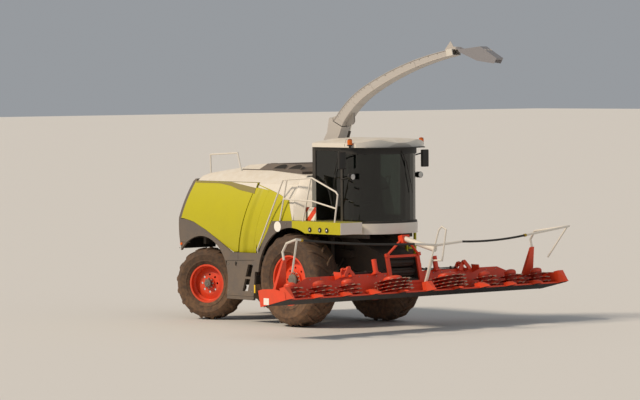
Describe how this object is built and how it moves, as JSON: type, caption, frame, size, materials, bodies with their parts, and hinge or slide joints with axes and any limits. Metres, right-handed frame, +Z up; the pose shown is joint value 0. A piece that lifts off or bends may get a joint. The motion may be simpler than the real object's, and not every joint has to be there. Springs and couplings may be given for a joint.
{
  "type": "self-propelled forage harvester",
  "caption": "Self-propelled forage harvester with cab, slewing discharge spout, hinged side covers and a wide folding maize header on a lifting intake.",
  "frame": {"origin": "on the ground below the middle of the overall length and width", "axes": "+X forward towards the header, +Y to the left, +Z up"},
  "size_m": [7.2944, 7.66, 5.8582],
  "materials": {
    "lime_paint": "gloss",
    "white_paint": "gloss",
    "grey_panel": "satin",
    "grey_steel": "satin",
    "red_paint": "gloss",
    "tyre_rubber": "matt",
    "frame_paint": "satin",
    "cast_grey": "matt",
    "bare_steel": "brushed",
    "rod_chrome": "polished",
    "spout_paint": "satin",
    "window_glass": "clear",
    "dark_plastic": "matt",
    "seat_fabric": "woven",
    "hose_rubber": "matt"
  },
  "bodies": {
    "machine": {"chassis": "frame_paint", "front_axle": "frame_paint", "rear_axle": "frame_paint", "engine_block": "cast_grey", "chopper_housing": "grey_steel", "lower_panel_right": "grey_panel", "lower_panel_left": "grey_panel", "side_front_right": "lime_paint", "side_front_left": "lime_paint", "hood": "white_paint", "hood_grille": "grey_panel", "rear_panel": "grey_panel", "platform_right": "lime_paint", "platform_left": "lime_paint", "handrail_right": "white_paint", "handrail_left": "white_paint", "cab_frame": "frame_paint", "cab_roof": "white_paint", "cab_glass": "window_glass", "seat": "seat_fabric", "steering_console": "dark_plastic", "cab_lamps": "dark_plastic"},
    "knuckle_right": {"knuckle_right": "frame_paint"},
    "wheel_rear_right": {"tyre_rear_right": "tyre_rubber", "rim_rear_right": "red_paint"},
    "wheel_front_right": {"tyre_front_right": "tyre_rubber", "rim_front_right": "red_paint"},
    "flap_right": {"side_flap_right": "lime_paint"},
    "knuckle_left": {"knuckle_left": "frame_paint"},
    "wheel_rear_left": {"tyre_rear_left": "tyre_rubber", "rim_rear_left": "red_paint"},
    "wheel_front_left": {"tyre_front_left": "tyre_rubber", "rim_front_left": "red_paint"},
    "flap_left": {"side_flap_left": "lime_paint"},
    "door": {"door_left": "frame_paint"},
    "header": {"intake_housing": "grey_steel", "header_center": "red_paint", "guide_center": "white_paint", "guide_hoses": "hose_rubber"},
    "lift_barrels": {"lift_barrels": "frame_paint"},
    "lift_rods": {"lift_rods": "rod_chrome"},
    "feed_roller_lower": {"feed_roller_lower": "bare_steel"},
    "feed_roller_upper": {"feed_roller_upper": "bare_steel"},
    "wing_right": {"header_wing_right": "red_paint", "guide_right": "white_paint"},
    "rotor_large_right": {"rotor_large_right": "red_paint"},
    "rotor_inner_right": {"rotor_inner_right": "red_paint"},
    "rotor_middle_right": {"rotor_middle_right": "red_paint"},
    "rotor_outer_right": {"rotor_outer_right": "red_paint"},
    "wing_left": {"header_wing_left": "red_paint", "guide_left": "white_paint"},
    "rotor_large_left": {"rotor_large_left": "red_paint"},
    "rotor_inner_left": {"rotor_inner_left": "red_paint"},
    "rotor_middle_left": {"rotor_middle_left": "red_paint"},
    "rotor_outer_left": {"rotor_outer_left": "red_paint"},
    "spout_turret": {"spout_turret": "spout_paint"},
    "spout_arm": {"spout_arm": "spout_paint"},
    "spout_flap": {"spout_flap": "spout_paint"},
    "spout_barrel": {"spout_barrel": "frame_paint"},
    "spout_rod": {"spout_rod": "rod_chrome"}
  },
  "joints": [
    {"name": "steer_right", "type": "hinge", "parent": "machine", "child": "knuckle_right", "pos_m": [-2.59152, -0.83, 0.77], "axis": [0, 0, 1], "range_deg": [-62, 18]},
    {"name": "wheel_rear_right_spin", "type": "hinge", "parent": "knuckle_right", "child": "wheel_rear_right", "pos_m": [-2.48663, -1.08961, 0.77], "axis": [-0.3746, 0.9272, 0], "continuous": true},
    {"name": "wheel_front_right_spin", "type": "hinge", "parent": "machine", "child": "wheel_front_right", "pos_m": [0.48848, -1.16, 0.965], "axis": [0, 1, 0], "continuous": true},
    {"name": "flap_right_open", "type": "hinge", "parent": "machine", "child": "flap_right", "pos_m": [-1.91152, -1.228, 2.928], "axis": [-1, 0, 0], "range_deg": [0, 80]},
    {"name": "steer_left", "type": "hinge", "parent": "machine", "child": "knuckle_left", "pos_m": [-2.59152, 0.83, 0.77], "axis": [0, 0, 1], "range_deg": [-62, 18]},
    {"name": "wheel_rear_left_spin", "type": "hinge", "parent": "knuckle_left", "child": "wheel_rear_left", "pos_m": [-2.69641, 1.08961, 0.77], "axis": [-0.3746, 0.9272, 0], "continuous": true},
    {"name": "wheel_front_left_spin", "type": "hinge", "parent": "machine", "child": "wheel_front_left", "pos_m": [0.48848, 1.16, 0.965], "axis": [0, 1, 0], "continuous": true},
    {"name": "flap_left_open", "type": "hinge", "parent": "machine", "child": "flap_left", "pos_m": [-1.91152, 1.228, 2.928], "axis": [1, 0, 0], "range_deg": [0, 80]},
    {"name": "door_open", "type": "hinge", "parent": "machine", "child": "door", "pos_m": [0.68148, 0.886, 2.9], "axis": [0, 0, 1], "range_deg": [0, 80]},
    {"name": "header_lift", "type": "hinge", "parent": "machine", "child": "header", "pos_m": [0.68848, 0, 1.5], "axis": [0, -1, 0], "range_deg": [-17, 2]},
    {"name": "lift_barrels_swing", "type": "hinge", "parent": "machine", "child": "lift_barrels", "pos_m": [0.70348, 0, 0.985], "axis": [0, -1, 0], "range_deg": [-17.6, 2.2]},
    {"name": "lift_rods_slide", "type": "slide", "parent": "lift_barrels", "child": "lift_rods", "axis": [0.9943, 0, 0.1063], "range_m": [-0.154, 0.02]},
    {"name": "feed_roller_lower_spin", "type": "hinge", "parent": "header", "child": "feed_roller_lower", "pos_m": [2.27848, 0, 1.14], "axis": [0, 1, 0], "continuous": true},
    {"name": "feed_roller_upper_spin", "type": "hinge", "parent": "header", "child": "feed_roller_upper", "pos_m": [2.25848, 0, 1.345], "axis": [0, 1, 0], "continuous": true},
    {"name": "wing_right_fold", "type": "hinge", "parent": "header", "child": "wing_right", "pos_m": [2.3956, -1.585, 1.27385], "axis": [-0.9748, 0, -0.2233], "range_deg": [0, 95], "deforming": ["guide_hoses"]},
    {"name": "rotor_large_right_spin", "type": "hinge", "parent": "header", "child": "rotor_large_right", "pos_m": [2.96061, -0.75, 0.82259], "axis": [-0.2233, 0, 0.9748], "continuous": true},
    {"name": "rotor_inner_right_spin", "type": "hinge", "parent": "wing_right", "child": "rotor_inner_right", "pos_m": [2.86313, -1.875, 0.80027], "axis": [-0.2233, 0, 0.9748], "continuous": true},
    {"name": "rotor_middle_right_spin", "type": "hinge", "parent": "wing_right", "child": "rotor_middle_right", "pos_m": [2.86313, -2.625, 0.80027], "axis": [-0.2233, 0, 0.9748], "continuous": true},
    {"name": "rotor_outer_right_spin", "type": "hinge", "parent": "wing_right", "child": "rotor_outer_right", "pos_m": [2.86313, -3.375, 0.80027], "axis": [-0.2233, 0, 0.9748], "continuous": true},
    {"name": "wing_left_fold", "type": "hinge", "parent": "header", "child": "wing_left", "pos_m": [2.3956, 1.585, 1.27385], "axis": [0.9748, 0, 0.2233], "range_deg": [0, 95], "deforming": ["guide_hoses"]},
    {"name": "rotor_large_left_spin", "type": "hinge", "parent": "header", "child": "rotor_large_left", "pos_m": [2.96061, 0.75, 0.82259], "axis": [-0.2233, 0, 0.9748], "continuous": true},
    {"name": "rotor_inner_left_spin", "type": "hinge", "parent": "wing_left", "child": "rotor_inner_left", "pos_m": [2.86313, 1.875, 0.80027], "axis": [-0.2233, 0, 0.9748], "continuous": true},
    {"name": "rotor_middle_left_spin", "type": "hinge", "parent": "wing_left", "child": "rotor_middle_left", "pos_m": [2.86313, 2.625, 0.80027], "axis": [-0.2233, 0, 0.9748], "continuous": true},
    {"name": "rotor_outer_left_spin", "type": "hinge", "parent": "wing_left", "child": "rotor_outer_left", "pos_m": [2.86313, 3.375, 0.80027], "axis": [-0.2233, 0, 0.9748], "continuous": true},
    {"name": "spout_slew", "type": "hinge", "parent": "machine", "child": "spout_turret", "pos_m": [0.13848, 0, 3.4], "axis": [0, 0, 1], "range_deg": [-5, 315]},
    {"name": "spout_lift", "type": "hinge", "parent": "spout_turret", "child": "spout_arm", "pos_m": [0.24724, 0.05071, 4.255], "axis": [0.4226, -0.9063, 0], "range_deg": [0, 14]},
    {"name": "spout_flap_tilt", "type": "hinge", "parent": "spout_arm", "child": "spout_flap", "pos_m": [2.7695, 1.22686, 5.71652], "axis": [0.4226, -0.9063, 0], "range_deg": [-50, 12]},
    {"name": "spout_barrel_swing", "type": "hinge", "parent": "spout_turret", "child": "spout_barrel", "pos_m": [0.47563, 0.15721, 3.725], "axis": [0.4226, -0.9063, 0], "range_deg": [-0.1, 1.8]},
    {"name": "spout_rod_slide", "type": "slide", "parent": "spout_barrel", "child": "spout_rod", "axis": [0.248, 0.1156, 0.9618], "range_m": [-0.002, 0.095]}
  ],
  "couplings": [
    {"joint": "steer_left", "follows": "steer_right", "ratio": 1},
    {"joint": "feed_roller_upper_spin", "follows": "feed_roller_lower_spin", "ratio": -1},
    {"joint": "lift_barrels_swing", "follows": "header_lift", "ratio": 1.0283},
    {"joint": "lift_rods_slide", "follows": "header_lift", "m_per_rad": 0.51191},
    {"joint": "spout_barrel_swing", "follows": "spout_lift", "ratio": 0.11911},
    {"joint": "spout_rod_slide", "follows": "spout_lift", "m_per_rad": 0.38136}
  ]
}
